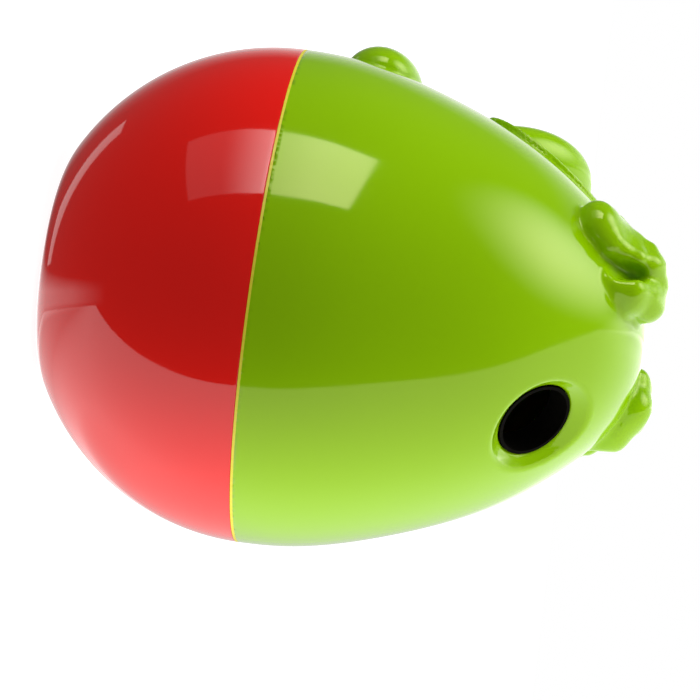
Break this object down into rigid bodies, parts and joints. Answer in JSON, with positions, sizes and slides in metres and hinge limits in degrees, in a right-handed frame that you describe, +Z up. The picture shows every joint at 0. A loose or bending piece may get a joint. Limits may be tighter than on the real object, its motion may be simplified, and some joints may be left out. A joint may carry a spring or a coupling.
{
  "type": "treat dispensing dog toy",
  "caption": "Weighted egg-shaped dog toy that unscrews at its seam for filling, lets treats out through a round port as it wobbles, and carries a simple animal figure in relief.",
  "frame": {"origin": "centre of the flat foot under the base", "axes": "+Z up along the egg's axis to its narrow end, the figure faces -Y, the treat port opens at the back towards +Y, and +X is on the figure's left"},
  "size_m": [0.115, 0.1231, 0.1426],
  "materials": {
    "red_plastic": "high gloss",
    "green_plastic": "high gloss",
    "yellow_rubber": "satin",
    "black_plastic": "matte",
    "ballast_iron": "as cast",
    "screw_steel": "plated"
  },
  "bodies": {
    "base": {"base_shell": "red_plastic", "threaded_collar": "red_plastic", "ballast_weight": "ballast_iron", "ballast_cover": "black_plastic", "ballast_screws": "screw_steel"},
    "seal": {"seam_ring": "yellow_rubber"},
    "upper": {"upper_shell": "green_plastic", "port_liner": "black_plastic"}
  },
  "joints": [
    {"name": "closure_rise", "type": "slide", "parent": "base", "child": "seal", "axis": [0, 0, 1], "range_m": [0, 0.00625]},
    {"name": "closure_turn", "type": "hinge", "parent": "seal", "child": "upper", "pos_m": [0, 0, 0], "axis": [0, 0, 1], "range_deg": [0, 450]}
  ],
  "couplings": [
    {"joint": "closure_rise", "follows": "closure_turn", "m_per_rad": 0.00079577}
  ]
}
